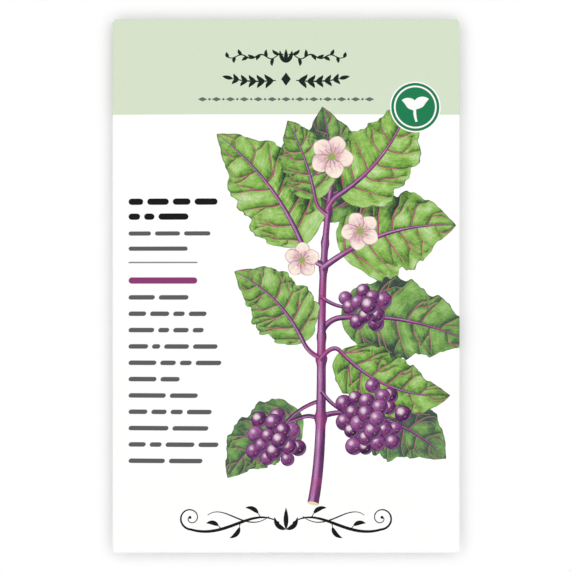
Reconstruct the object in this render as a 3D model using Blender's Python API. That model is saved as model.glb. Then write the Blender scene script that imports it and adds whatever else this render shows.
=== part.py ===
"""A sealed paper seed packet that lies on its back, with loose seeds inside.

The paper is one sheet, cut, folded and stuck down: a front panel, a back panel that hangs on the left fold, a
seam flap turned in along the right fold, and a bottom and a top flap turned over the back. The folds leave a
flat pouch, and the seeds lie in it as one layer, in the lower half.

Metres, +Z up. The origin is the middle of the packet's outline, on the surface that it lies on. +Y is the
packet's top, and the printed front looks up.
"""

import math
import random

import bmesh
import bpy
from mathutils import Euler, Matrix, Vector

MM = 0.001

# The outline: a packet of 3 1/4 by 5 inches
WIDTH = 82.5 * MM
HEIGHT = 127.0 * MM

# The paper, and the glued gap from one layer's face to the next
PAPER = 0.16 * MM
GLUE_GAP = 0.14 * MM
LAYER = PAPER + GLUE_GAP

# Heights of the middle of each layer: outer flaps, back panel, seam flap, and the front panel at its edges
OUTER_FLAP_Z = PAPER / 2
BACK_Z = OUTER_FLAP_Z + LAYER
SEAM_FLAP_Z = BACK_Z + LAYER
FRONT_EDGE_Z = SEAM_FLAP_Z + LAYER

# The pouch: how far the front rises over the seeds, how much lower it is towards the top, and how late it
# levels out towards its edges
BULGE = 2.7 * MM
BULGE_MIDDLE = 0.85
BULGE_LEAN = 0.15
BULGE_FLATNESS = 4

# Flaps: how deep each is, and how much each end slants in for each unit of depth
BOTTOM_FLAP = 13.0 * MM
TOP_FLAP = 19.0 * MM
SEAM_FLAP = 11.0 * MM
BOTTOM_SLANT = 0.30
TOP_SLANT = 0.22
SEAM_SLANT = 0.55
CORNER_NOTCH = 0.4 * MM
BACK_FREE_EDGE_INSET = 0.5 * MM

# Facets
FOLD_STEPS = 6
FRONT_COLUMNS = 20
FRONT_ROWS = 30
FLAP_STEPS = 3
SHARP_ANGLE = math.radians(40)

# The seeds: each touches the one that it was laid against, and lies free of all others
SEED_COUNT = 140
SEED_DIAMETER = 1.9 * MM
SEED_PITCH = 0.74 * SEED_DIAMETER
SEED_SPACING = 1.06 * SEED_DIAMETER
SEED_CLEARANCE = 0.30 * MM
HEAP_CENTRE = Vector((0.0, -20.0 * MM))
HEAP_HALF_WIDTH = 17.0 * MM
HEAP_HALF_HEIGHT = 13.0 * MM
SEED_DRAW = 7


def clear_scene():
    """Removes whatever the scene holds."""
    for found in list(bpy.data.objects):
        bpy.data.objects.remove(found)


def make_material(name, colour, roughness):
    """A plain surface of one colour."""
    material = bpy.data.materials.new(name)
    material.use_nodes = True
    shader = material.node_tree.nodes["Principled BSDF"]
    shader.inputs["Base Color"].default_value = (*colour, 1.0)
    shader.inputs["Roughness"].default_value = roughness
    shader.inputs["Metallic"].default_value = 0.0
    return material


def fold_radius(lower_z):
    """The radius of the fold that brings the front panel's edge down to a layer."""
    return (FRONT_EDGE_Z - lower_z) / 2


def plateau(share):
    """1 over the middle of a panel, 0 at its edges, and level at both."""
    return (1 - abs(share) ** BULGE_FLATNESS) ** 2


def front_height(x, y):
    """The height of the front panel's middle layer over the packet's outline."""
    across = x / (WIDTH / 2)
    along = y / (HEIGHT / 2)
    fullness = BULGE_MIDDLE - BULGE_LEAN * along
    return FRONT_EDGE_Z + BULGE * fullness * plateau(across) * plateau(along)


def stations(low, high, count):
    """Places from one edge of the front to the other, with one at each corner notch."""
    inner_low, inner_high = low + CORNER_NOTCH, high - CORNER_NOTCH
    step = (inner_high - inner_low) / (count - 2)
    return [low] + [inner_low + step * i for i in range(count - 1)] + [high]


def fold_path(radius):
    """(outwards, down) for each step round a half turn."""
    turns = [math.pi * step / FOLD_STEPS for step in range(1, FOLD_STEPS + 1)]
    return [(radius * math.sin(turn), radius * (1 - math.cos(turn))) for turn in turns]


def add_row(mesh, last_row, places):
    """A further row of the sheet, joined to the last one."""
    row = [mesh.verts.new(place) for place in places]
    for i in range(len(row) - 1):
        mesh.faces.new((last_row[i], row[i], row[i + 1], last_row[i + 1]))
    return row


def add_flap(mesh, edge, outwards, radius, depth, slant):
    """Turns the sheet round a fold along an edge of the front, and carries it on as a flap.

    The flap's ends slant in, about the middle of the edge.
    """
    middle = (edge[0].co + edge[-1].co) / 2
    half_length = (edge[-1].co - edge[0].co).length / 2
    down = Vector((0, 0, -1))
    base = [vertex.co.copy() for vertex in edge]
    row = edge
    for out, drop in fold_path(radius):
        row = add_row(mesh, row, [place + outwards * out + down * drop for place in base])
    for step in range(1, FLAP_STEPS + 1):
        reach = depth * step / FLAP_STEPS
        narrower = 1 - slant * reach / half_length
        places = []
        for place in base:
            along = middle + (place - middle) * narrower
            places.append(along - outwards * reach + down * 2 * radius)
        row = add_row(mesh, row, places)


def make_paper(material):
    """The folded sheet: its middle surface, thickened to the paper's own thickness."""
    left_radius = fold_radius(BACK_Z)
    right_radius = fold_radius(SEAM_FLAP_Z)
    end_radius = fold_radius(OUTER_FLAP_Z)
    left = -WIDTH / 2 + left_radius + PAPER / 2
    right = WIDTH / 2 - right_radius - PAPER / 2
    end = HEIGHT / 2 - end_radius - PAPER / 2
    columns = stations(left, right, FRONT_COLUMNS)
    rows = stations(-end, end, FRONT_ROWS)

    mesh = bmesh.new()
    front = []
    for y in rows:
        places = []
        for x in columns:
            inside = left < x < right and -end < y < end
            places.append((x, y, front_height(x, y) if inside else FRONT_EDGE_Z))
        row = [mesh.verts.new(place) for place in places]
        if front:
            below = front[-1]
            for i in range(len(row) - 1):
                mesh.faces.new((below[i], below[i + 1], row[i + 1], row[i]))
        front.append(row)

    back_width = right - left - BACK_FREE_EDGE_INSET
    left_edge = [row[0] for row in reversed(front[1:-1])]
    right_edge = [row[-1] for row in front[1:-1]]
    bottom_edge = front[0][1:-1]
    top_edge = list(reversed(front[-1][1:-1]))
    add_flap(mesh, bottom_edge, Vector((0, -1, 0)), end_radius, BOTTOM_FLAP, BOTTOM_SLANT)
    add_flap(mesh, top_edge, Vector((0, 1, 0)), end_radius, TOP_FLAP, TOP_SLANT)
    add_flap(mesh, right_edge, Vector((1, 0, 0)), right_radius, SEAM_FLAP, SEAM_SLANT)
    add_flap(mesh, left_edge, Vector((-1, 0, 0)), left_radius, back_width, 0.0)

    data = bpy.data.meshes.new("packet_paper")
    mesh.to_mesh(data)
    mesh.free()
    data.materials.append(material)
    data.shade_smooth()
    data.set_sharp_from_angle(angle=SHARP_ANGLE)
    paper = bpy.data.objects.new("packet_paper", data)
    bpy.context.scene.collection.objects.link(paper)
    thick = paper.modifiers.new("Thickness", "SOLIDIFY")
    thick.thickness = PAPER
    thick.offset = 0.0
    thick.use_even_offset = True
    return paper


def in_heap(place):
    """Whether a place is inside the oval that the seeds lie in."""
    return math.hypot(place.x / HEAP_HALF_WIDTH, place.y / HEAP_HALF_HEIGHT) <= 1


def seed_places(draw):
    """Where the seeds lie: each is laid against an earlier one, on a side with room for it."""
    places = [Vector((0.0, 0.0))]
    while len(places) < SEED_COUNT:
        neighbour = draw.choice(places)
        turn = draw.uniform(0, 2 * math.pi)
        place = neighbour + SEED_PITCH * Vector((math.cos(turn), math.sin(turn)))
        others = [other for other in places if other is not neighbour]
        if in_heap(place) and all((place - other).length > SEED_SPACING for other in others):
            places.append(place)
    return [HEAP_CENTRE + place for place in places]


def make_seed(name, place, draw):
    """One seed: a round grain, turned at random, that lies on the back panel."""
    turn = Euler([draw.uniform(0, math.pi) for _ in range(3)]).to_matrix().to_4x4()
    lift = BACK_Z + PAPER / 2 + SEED_CLEARANCE + SEED_DIAMETER / 2
    mesh = bmesh.new()
    bmesh.ops.create_icosphere(mesh, subdivisions=1, radius=SEED_DIAMETER / 2, matrix=turn)
    bmesh.ops.transform(mesh, matrix=Matrix.Translation((*place, lift)), verts=mesh.verts)
    data = bpy.data.meshes.new(name)
    mesh.to_mesh(data)
    mesh.free()
    return bpy.data.objects.new(name, data)


def make_seeds(material):
    """The layer of seeds, joined where they touch."""
    draw = random.Random(SEED_DRAW)
    grains = [
        make_seed(f"grain_{number}", place, draw)
        for number, place in enumerate(seed_places(draw))
    ]
    seeds = grains[0]
    seeds.name = "seeds"
    seeds.data.name = "seeds"
    bpy.context.scene.collection.objects.link(seeds)
    others = bpy.data.collections.new("grains")
    bpy.context.scene.collection.children.link(others)
    for grain in grains[1:]:
        others.objects.link(grain)
    join = seeds.modifiers.new("Join", "BOOLEAN")
    join.operation = "UNION"
    join.operand_type = "COLLECTION"
    join.collection = others
    bpy.context.view_layer.update()
    joined = bpy.data.meshes.new_from_object(
        seeds.evaluated_get(bpy.context.evaluated_depsgraph_get())
    )
    seeds.modifiers.clear()
    seeds.data = joined
    for grain in grains[1:]:
        bpy.data.objects.remove(grain)
    bpy.data.collections.remove(others)
    joined.materials.clear()
    joined.materials.append(material)
    return seeds


def main():
    """Builds the packet."""
    clear_scene()
    make_paper(make_material("paper", (0.92, 0.92, 0.90), 0.55))
    make_seeds(make_material("seed_coat", (0.10, 0.045, 0.025), 0.6))


main()
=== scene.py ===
"""The looks of a sealed paper seed packet that lies on its back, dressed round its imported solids.

The packet is made the way a packet is made: the print is laid out on one flat sheet, the sheet is cut to
its outline, and then it is folded up and stuck down. Sizes and places are in millimetres. On the sheet, x
runs across the front panel from its middle and y runs up it, so a place on the front is the same on the
sheet and on the packet. The back panel lies to the left of the front, and the flaps lie round it.
"""

import logging
import math
import random
from collections.abc import Iterable
from dataclasses import dataclass, field
from enum import Enum
from typing import Any, ClassVar, Self

import bpy
import numpy as np
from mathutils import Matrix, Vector
from mathutils.geometry import delaunay_2d_cdt


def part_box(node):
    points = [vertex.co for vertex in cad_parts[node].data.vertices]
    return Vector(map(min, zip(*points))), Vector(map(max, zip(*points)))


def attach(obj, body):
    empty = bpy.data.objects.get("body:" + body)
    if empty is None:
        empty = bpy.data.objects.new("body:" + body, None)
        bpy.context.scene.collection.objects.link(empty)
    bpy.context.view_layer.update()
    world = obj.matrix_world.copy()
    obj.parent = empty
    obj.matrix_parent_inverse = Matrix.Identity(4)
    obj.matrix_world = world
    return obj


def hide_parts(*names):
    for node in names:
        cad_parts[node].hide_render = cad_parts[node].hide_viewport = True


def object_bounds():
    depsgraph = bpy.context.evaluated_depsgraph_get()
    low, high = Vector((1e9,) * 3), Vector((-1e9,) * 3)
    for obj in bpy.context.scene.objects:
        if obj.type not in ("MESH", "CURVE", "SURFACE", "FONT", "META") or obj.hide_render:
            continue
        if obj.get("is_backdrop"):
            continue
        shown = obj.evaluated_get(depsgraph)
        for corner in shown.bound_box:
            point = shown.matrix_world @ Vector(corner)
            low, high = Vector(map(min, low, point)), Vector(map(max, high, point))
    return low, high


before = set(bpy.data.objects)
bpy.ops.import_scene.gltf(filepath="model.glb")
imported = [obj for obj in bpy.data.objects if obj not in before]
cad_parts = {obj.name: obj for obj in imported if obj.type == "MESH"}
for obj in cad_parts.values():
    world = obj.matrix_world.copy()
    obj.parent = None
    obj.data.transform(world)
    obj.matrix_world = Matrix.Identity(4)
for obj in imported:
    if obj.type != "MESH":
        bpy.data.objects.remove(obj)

log = logging.getLogger("seed_packet")

MM = 0.001
Array = np.ndarray
Socket = bpy.types.NodeSocket
Colour = tuple[float, float, float]
Point = tuple[float, float] | Array


def srgb(red: float, green: float, blue: float) -> Colour:
    """A colour given as 0 to 255 on a screen, as the light it stands for.

    Args:
        red: Its red.
        green: Its green.
        blue: Its blue.

    Returns:
        The colour, in shares of light.
    """
    shares = [channel / 255 for channel in (red, green, blue)]
    low_end, slope, offset, power = 0.04045, 12.92, 0.055, 2.4
    return tuple(
        share / slope if share <= low_end else ((share + offset) / (1 + offset)) ** power
        for share in shares
    )


# Inks and paper
BARE = srgb(252, 252, 251)
BAND_GREEN = srgb(211, 223, 199)
BAND_INK = srgb(22, 36, 28)
BLACK_INK = srgb(20, 20, 22)
GREY_INK = srgb(92, 92, 94)
FINE_INK = srgb(100, 108, 100)
RULE_INK = srgb(132, 132, 132)
PLUM_INK = srgb(138, 60, 112)
BADGE_GREEN = srgb(30, 124, 80)
LEAF_INK = srgb(96, 140, 84)

# The way that painted light falls over the sheet
FROM_LIGHT = np.array([math.sqrt(0.5), -math.sqrt(0.5)])


# Shader toolkit


class Value:
    """A shader socket that carries a number, and takes part in expressions."""

    def __init__(self, graph: "Graph", socket: Socket) -> None:
        """Wraps a socket of a graph."""
        self.graph = graph
        self.socket = socket

    def __add__(self, other: "Value | float") -> "Value":
        """self + other."""
        return self.graph.math("ADD", self, other)

    __radd__ = __add__

    def __sub__(self, other: "Value | float") -> "Value":
        """self - other."""
        return self.graph.math("SUBTRACT", self, other)

    def __rsub__(self, other: float) -> "Value":
        """other - self."""
        return self.graph.math("SUBTRACT", other, self)

    def __mul__(self, other: "Value | float") -> "Value":
        """self * other."""
        return self.graph.math("MULTIPLY", self, other)

    __rmul__ = __mul__

    def __truediv__(self, other: "Value | float") -> "Value":
        """self / other."""
        return self.graph.math("DIVIDE", self, other)

    def __pow__(self, other: "Value | float") -> "Value":
        """self ** other, for a self that isn't negative."""
        return self.graph.math("POWER", self, other)

    def __abs__(self) -> "Value":
        """The size of self."""
        return self.graph.math("ABSOLUTE", self)


class Graph:
    """The nodes of one material, or of the world."""

    def __init__(self, owner: bpy.types.Material | bpy.types.World) -> None:
        """Starts with no nodes.

        Args:
            owner: The material or the world.
        """
        self.owner = owner
        owner.use_nodes = True
        self.tree = owner.node_tree
        self.tree.nodes.clear()

    @classmethod
    def material(cls, name: str) -> "Graph":
        """The nodes of a new material."""
        return cls(bpy.data.materials.new(name))

    def node(
        self, kind: str, settings: dict[str, Any] | None = None, sockets: dict[str | int, Any] | None = None
    ) -> bpy.types.Node:
        """Adds a node.

        Args:
            kind: The node's type.
            settings: Its settings, set first. "stops" gives a ramp's places and colours.
            sockets: What each socket is fed, by name or number: a value, a link or a Value.

        Returns:
            The node.
        """
        made = self.tree.nodes.new(kind)
        for name, setting in (settings or {}).items():
            if name == "stops":
                self.set_stops(made.color_ramp, setting)
            else:
                setattr(made, name, setting)
        for name, fed in (sockets or {}).items():
            if isinstance(fed, Value):
                fed = fed.socket
            if isinstance(fed, Socket):
                self.tree.links.new(fed, made.inputs[name])
            else:
                made.inputs[name].default_value = fed
        return made

    @staticmethod
    def set_stops(ramp: bpy.types.ColorRamp, stops: Iterable[tuple[float, ...]]) -> None:
        """Gives a colour ramp its stops.

        Args:
            ramp: The ramp.
            stops: Each stop's place, and its red, green and blue as 0 to 255.
        """
        while len(ramp.elements) < len(stops):
            ramp.elements.new(1.0)
        for element, (place, *colour) in zip(ramp.elements, stops):
            element.position = place
            element.color = (*srgb(*colour), 1.0)

    def math(self, operation: str, *operands: Value | float) -> Value:
        """The result of a Math node."""
        made = self.node("ShaderNodeMath", {"operation": operation}, dict(enumerate(operands)))
        return Value(self, made.outputs[0])

    def reach(self, x: Value, y: Value) -> Value:
        """How far a place is from the middle."""
        return self.math("SQRT", x * x + y * y)

    def fade(self, value: Value, start: float, end: float) -> Value:
        """A smooth step.

        Args:
            value: What it follows.
            start: The value at which it is 0.
            end: The value at which it is 1.

        Returns:
            The step.
        """
        low, high, first, last = (start, end, 0.0, 1.0) if start < end else (end, start, 1.0, 0.0)
        sockets = {"Value": value, "From Min": low, "From Max": high, "To Min": first, "To Max": last}
        made = self.node("ShaderNodeMapRange", {"interpolation_type": "SMOOTHSTEP"}, sockets)
        return Value(self, made.outputs["Result"])

    def mix(self, share: Value | float, first: Any, second: Any) -> Socket:
        """Two colours mixed.

        Args:
            share: How much of the second there is.
            first: A colour or a link.
            second: A colour or a link.

        Returns:
            The mixed colour's socket.
        """
        ends = [end if isinstance(end, Socket) else (*end, 1.0) for end in (first, second)]
        settings = {"data_type": "RGBA", "clamp_factor": True}
        return self.node("ShaderNodeMix", settings, {0: share, 6: ends[0], 7: ends[1]}).outputs[2]

    def glaze(self, colour: Any, *coats: tuple[Value | float, int, int, int]) -> Any:
        """A colour with others laid over it in turn.

        Args:
            colour: The undermost colour.
            *coats: How much of each there is, and its red, green and blue as 0 to 255.

        Returns:
            The colour that shows.
        """
        for share, *tint in coats:
            colour = self.mix(share, colour, srgb(*tint))
        return colour

    def ramp(self, value: Value, *stops: tuple[float, ...]) -> Socket:
        """The colour that a value stands for, between stops."""
        return self.node("ShaderNodeValToRGB", {"stops": stops}, {"Fac": value}).outputs["Color"]

    def place(self, x: Value | float, y: Value | float, z: Value | float = 0.0) -> Socket:
        """Three numbers as one place."""
        return self.node("ShaderNodeCombineXYZ", None, {"X": x, "Y": y, "Z": z}).outputs["Vector"]

    def parts(self, place: Socket) -> tuple[Value, Value, Value]:
        """A place's three numbers."""
        made = self.node("ShaderNodeSeparateXYZ", None, {"Vector": place})
        return tuple(Value(self, made.outputs[axis]) for axis in "XYZ")

    def told(self, name: str, output: str = "Vector") -> Socket:
        """What the mesh says at each corner."""
        return self.node("ShaderNodeAttribute", {"attribute_name": name}).outputs[output]

    def numbers(self, name: str) -> tuple[Value, Value, Value]:
        """The three numbers that the mesh says at each corner."""
        return self.parts(self.told(name))

    def noise(self, place: Socket, scale: float, detail: float = 2.0, roughness: float = 0.5) -> Value:
        """Smooth noise of about 0 to 1 over a place."""
        sockets = {"Vector": place, "Scale": scale, "Detail": detail, "Roughness": roughness}
        return Value(self, self.node("ShaderNodeTexNoise", None, sockets).outputs["Fac"])

    def grain(self, scale: float, detail: float, roughness: float) -> Value:
        """Smooth noise of about 0 to 1 over the flat sheet."""
        return self.noise(self.told("sheet"), scale, detail, roughness)

    def cracks(self, place: Socket, scale: float) -> Value:
        """How far a place is from the nearest border of a net of cells."""
        settings, sockets = {"feature": "DISTANCE_TO_EDGE"}, {"Vector": place, "Scale": scale}
        return Value(self, self.node("ShaderNodeTexVoronoi", settings, sockets).outputs["Distance"])

    def finish(
        self, colour: Any, roughness: Value | float, relief: Value, depth: float, gloss: float
    ) -> bpy.types.Material:
        """Ends the graph in a surface.

        Args:
            colour: The surface's colour.
            roughness: Its roughness.
            relief: The height of its relief, 0 to 1.
            depth: How deep the relief is, in metres.
            gloss: The strength of its reflections.

        Returns:
            The material.
        """
        bump = self.node("ShaderNodeBump", None, {"Strength": 1.0, "Distance": depth, "Height": relief})
        sockets = {
            "Base Color": colour,
            "Roughness": roughness,
            "Specular IOR Level": gloss,
            "Normal": bump.outputs["Normal"],
        }
        surface = self.node("ShaderNodeBsdfPrincipled", None, sockets)
        self.node("ShaderNodeOutputMaterial", None, {"Surface": surface.outputs["BSDF"]})
        return self.owner


# Finishes


@dataclass(frozen=True)
class Paper:
    """The packet's paper: white, smooth, with a faint sheen and short fibres."""

    fibre_length: float = 0.9
    fibre_width: float = 0.12
    relief: float = 0.012
    roughness: float = 0.46
    roughness_range: float = 0.16
    gloss: float = 0.07
    mottle_size: float = 2.6
    scuff_size: float = 0.7

    def surface(self, graph: Graph, colour: Any) -> bpy.types.Material:
        """Ends a graph in this paper, which shows white through the ink where it is worn.

        Args:
            graph: The graph to end.
            colour: The print's colour.

        Returns:
            The material.
        """
        across, along, _ = graph.numbers("sheet")
        one_way = graph.noise(graph.place(across / self.fibre_length, along / self.fibre_width), 1.0)
        other_way = graph.noise(graph.place(across / self.fibre_width, along / self.fibre_length), 1.0)
        fibres = 0.5 * one_way + 0.5 * other_way
        mottle = graph.grain(1 / self.mottle_size, 4.0, 0.6)
        scuffs = graph.grain(1 / self.scuff_size, 5.0, 0.7)
        worn = Value(graph, graph.told("wear", "Fac"))
        bared = graph.fade(worn * (0.30 + scuffs), 0.70, 0.95)
        # The colour is a little darker where the fibres stand highest in the relief.
        darker_fibres = graph.fade(fibres, 0.35, 0.65)
        shown = graph.glaze(colour, (darker_fibres * 0.035, 0, 0, 0), (bared * 0.6, 246, 246, 243))
        roughness = self.roughness + self.roughness_range * (mottle - 0.5) + 0.2 * bared
        return graph.finish(shown, roughness, fibres + 0.6 * mottle, self.relief * MM, self.gloss)


@dataclass(frozen=True)
class Print:
    """A print on the packet's paper. Each kind names its material, and says what colour it has.

    On a ribbon, "place" gives how far along it is, how far out, and how far inside the rim in millimetres.
    On a round patch it gives x and y as shares of the radius, and a number that turns it. "tone" gives a
    patch's own number, its shade, and how blue it is.
    """

    paper: Paper
    name: ClassVar[str] = "print"

    def colour(self, graph: Graph) -> Any:
        """The colour on the paper."""
        return BARE

    def make(self) -> bpy.types.Material:
        """The material."""
        graph = Graph.material(self.name)
        return self.paper.surface(graph, self.colour(graph))


@dataclass(frozen=True)
class FlatPrint(Print):
    """Bare paper and flat inks, each corner in its own ink."""

    name: ClassVar[str] = "flat_print"

    def colour(self, graph: Graph) -> Any:
        """The ink, a little uneven."""
        return graph.mix((graph.grain(5.0, 3.0, 0.6) - 0.5) * 0.08, graph.told("ink", "Color"), BARE)


@dataclass(frozen=True)
class LeafPaint(Print):
    """A leaf in wash and pencil: green that swells between its veins, dark in its hollows and at its rim."""

    name: ClassVar[str] = "leaf_print"
    vein_rise: float = 0.17

    def colour(self, graph: Graph) -> Any:
        """The colour on the paper.

        "swell" gives how far the nearest vein is in millimetres, how much the swelling beside it faces the
        light, and how much a leaf above shades it.

        Args:
            graph: The graph.

        Returns:
            The colour.
        """
        along, out, inside = graph.numbers("place")
        near, lean, dimmed = graph.numbers("swell")
        own, shade, blue = graph.numbers("tone")
        reach = abs(out)
        strand = along - self.vein_rise * reach**1.35
        strokes = graph.noise(graph.place(strand * 62, reach * 4.5, own * 31), 1.0, 4.0, 0.66)
        crossed = graph.noise(graph.place(along * 11, out * 15, own * 17), 1.0, 3.0, 0.6)
        pencil = graph.grain(3.0, 5.0, 0.72)
        wash = graph.grain(0.17, 3.0, 0.55)
        dapple = graph.grain(0.42, 2.0, 0.5)
        light = 0.50 + 0.20 * graph.fade(near, 0.0, 1.5) + 0.17 * lean * graph.fade(near, 3.4, 0.3)
        layers = ((0.64, strokes), (0.26, crossed), (0.56, pencil), (0.62, wash), (0.42, dapple))
        for strength, marks in layers:
            light = light + strength * (marks - 0.5)
        green = graph.ramp(
            light - 0.40 * shade - 0.36 * dimmed,
            (0.00, 36, 48, 44),
            (0.16, 64, 88, 56),
            (0.32, 96, 138, 60),
            (0.48, 128, 176, 76),
            (0.66, 158, 199, 106),
            (0.84, 190, 216, 154),
            (1.00, 220, 230, 210),
        )
        teal = graph.fade(dapple + 0.25 * (pencil - 0.5), 0.58, 0.74) * graph.fade(inside, 3.4, 0.2)
        hollow = graph.fade(near, 0.75, 0.10) * graph.fade(lean, 0.2, -0.9)
        sheen = graph.fade(crossed + 0.3 * (pencil - 0.5), 0.60, 0.74) * graph.fade(shade, 0.6, 0.0)
        rim = graph.fade(inside, 0.42, 0.0) * graph.fade(wash + 0.3 * (pencil - 0.5), 0.34, 0.60)
        return graph.glaze(
            green,
            (blue * 0.6, 104, 128, 116),
            (teal * 0.45, 38, 104, 82),
            (hollow * 0.5, 48, 74, 44),
            (sheen * 0.28, 208, 208, 208),
            (rim * 0.85, 54, 62, 54),
        )


@dataclass(frozen=True)
class VeinPaint(Print):
    """A side vein in pencil: plum where it leaves the midrib, rose further out, and faint at its end."""

    name: ClassVar[str] = "vein_print"

    def colour(self, graph: Graph) -> Any:
        """The colour on the paper.

        Args:
            graph: The graph.

        Returns:
            The colour.
        """
        along, out, _ = graph.numbers("place")
        _, shade, blue = graph.numbers("tone")
        rose = graph.ramp(
            along + 0.5 * (graph.grain(1.7, 4.0, 0.68) - 0.5),
            (0.00, 132, 54, 108),
            (0.30, 178, 66, 98),
            (0.62, 190, 98, 110),
            (0.95, 152, 150, 98),
        )
        lit = graph.fade(out, 0.4, -0.8)
        return graph.glaze(
            rose, (shade * 0.6, 84, 52, 74), (blue * 0.4, 126, 118, 136), (lit * 0.28, 226, 186, 194)
        )


@dataclass(frozen=True)
class StemPaint(Print):
    """A stem in wash and pencil: plum at its sides, rose in places, with a pale streak along it."""

    name: ClassVar[str] = "stem_print"

    def colour(self, graph: Graph) -> Any:
        """The colour on the paper.

        Args:
            graph: The graph.

        Returns:
            The colour.
        """
        along, out, _ = graph.numbers("place")
        own, shade, _ = graph.numbers("tone")
        streaks = graph.noise(graph.place(along * 9.0, out * 2.4, own * 5), 1.0, 5.0, 0.66)
        pencil = graph.grain(2.6, 5.0, 0.7)
        lit = graph.fade(abs(out + 0.30), 0.80, 0.0)
        plum = graph.ramp(
            0.26 + 0.46 * lit + 0.80 * (streaks - 0.5) + 0.45 * (pencil - 0.5) - 0.35 * shade,
            (0.00, 58, 34, 62),
            (0.24, 100, 54, 100),
            (0.48, 148, 87, 141),
            (0.70, 187, 136, 181),
            (1.00, 232, 204, 220),
        )
        rosy = graph.fade(graph.grain(0.16, 2.0, 0.5), 0.48, 0.66)
        edge = graph.fade(abs(out), 0.70, 1.0)
        return graph.glaze(plum, (rosy * 0.42, 172, 62, 122), (edge * 0.55, 66, 38, 66))


@dataclass(frozen=True)
class BerryPaint(Print):
    """A round berry in wash and pencil: plum, with a soft highlight, a dark foot and a small star."""

    name: ClassVar[str] = "berry_print"

    def colour(self, graph: Graph) -> Any:
        """The colour on the paper.

        Args:
            graph: The graph.

        Returns:
            The colour.
        """
        x, y, turn = graph.numbers("place")
        own, shade, _ = graph.numbers("tone")
        mottle = graph.grain(1.5, 5.0, 0.68)
        bloom = graph.grain(0.5, 3.0, 0.6)
        reach = graph.reach(x, y)
        slope = 0.62 * y - 0.58 * x
        light = 0.47 + 0.36 * slope - 0.20 * reach * reach
        for strength, marks in ((0.70, mottle), (0.50, bloom), (0.20, own)):
            light = light + strength * (marks - 0.5)
        skin = graph.ramp(
            light - 0.30 * shade,
            (0.00, 50, 26, 56),
            (0.20, 84, 40, 88),
            (0.42, 128, 67, 125),
            (0.64, 165, 108, 161),
            (0.84, 201, 162, 199),
            (1.00, 234, 214, 230),
        )
        back_light = graph.fade(reach, 0.60, 0.9) * graph.fade(slope, -0.22, -0.7)
        shine = graph.reach(x + 0.32, y - 0.34)
        glint = graph.fade(shine + 0.55 * (mottle - 0.5) + 0.24 * (own - 0.5), 0.50, 0.04)
        star_x, star_y = x - 0.22, y + 0.26
        from_star = graph.reach(star_x, star_y)
        points = graph.math("SINE", graph.math("ARCTAN2", star_y, star_x) * 5.0 + turn * 6.28)
        star = graph.fade(from_star - 0.055 * points, 0.20, 0.14)
        return graph.glaze(
            skin,
            (graph.fade(bloom, 0.5, 0.68) * 0.35, 150, 46, 108),
            (back_light * 0.55, 168, 118, 176),
            (glint * 0.82, 246, 228, 234),
            (star * 0.85, 62, 36, 58),
            (graph.fade(from_star, 0.11, 0.05) * 0.8, 172, 150, 120),
            (graph.fade(reach, 0.84, 1.0) * 0.75, 60, 30, 62),
        )


@dataclass(frozen=True)
class PetalPaint(Print):
    """A petal in watercolour: cream, blushed at its foot, with fine lilac lines along it."""

    name: ClassVar[str] = "petal_print"

    def colour(self, graph: Graph) -> Any:
        """The colour on the paper.

        Args:
            graph: The graph.

        Returns:
            The colour.
        """
        along, out, inside = graph.numbers("place")
        own, shade, _ = graph.numbers("tone")
        wash = graph.grain(0.7, 3.0, 0.6)
        strokes = graph.noise(graph.place(out * 5.5, along * 1.4, own * 11), 1.0, 3.0, 0.6)
        base = graph.ramp(
            along * 0.8 + 0.9 * (wash - 0.5) - 0.4 * shade,
            (0.00, 206, 186, 130),
            (0.18, 222, 180, 196),
            (0.45, 246, 226, 212),
            (1.00, 255, 246, 232),
        )
        lines = graph.fade(strokes, 0.46, 0.36) * graph.fade(along, 1.0, 0.35)
        rim = graph.fade(inside, 0.34, 0.0)
        return graph.glaze(base, (lines * 0.55, 178, 128, 172), (rim * 0.75, 158, 112, 138))


@dataclass(frozen=True)
class BareSide(Print):
    """The unprinted side of the paper and its cut edge."""

    name: ClassVar[str] = "bare_side"

    def colour(self, graph: Graph) -> Any:
        """Off-white with faint flecks."""
        flecks = graph.fade(graph.grain(1.1, 5.0, 0.7), 0.4, 0.75)
        return graph.mix(flecks, srgb(248, 247, 243), srgb(236, 234, 228))


@dataclass(frozen=True)
class SeedCoat:
    """A dry seed coat: dark red-brown, mottled, finely pitted, with painted shade in its pits."""

    pit_size: float = 0.16
    relief: float = 0.05
    gloss: float = 0.35

    def make(self) -> bpy.types.Material:
        """The material.

        Returns:
            The material.
        """
        graph = Graph.material("seed_coat")
        metres = graph.node("ShaderNodeTexCoord").outputs["Object"]
        sockets = {"Vector": metres, "Scale": 1 / MM}
        place = graph.node("ShaderNodeVectorMath", {"operation": "SCALE"}, sockets).outputs["Vector"]
        pits = graph.cracks(place, 1 / self.pit_size)
        # Painted shade: the colour is darker in the pits, along the grooves between the cells.
        colour = graph.ramp(
            graph.noise(place, 0.55, 4.0, 0.6) + 0.25 * (pits - 0.3),
            (0.25, 46, 26, 20),
            (0.50, 82, 46, 34),
            (0.75, 116, 72, 52),
        )
        dull = graph.fade(pits, 0.0, 0.25)
        return graph.finish(colour, 0.72 - 0.18 * dull, dull, self.relief * MM, self.gloss)


# Curves and printed patches


def onward(start: Point, heading: float, reach: float) -> Point:
    """The place that is so far from another, at a heading."""
    return (start[0] + reach * math.cos(heading), start[1] + reach * math.sin(heading))


def circle(sides: int) -> Array:
    """The corners of a circle of radius 1, one to a row."""
    turns = np.linspace(0, 2 * np.pi, sides, endpoint=False)
    return np.stack([np.cos(turns), np.sin(turns)], 1)


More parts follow.
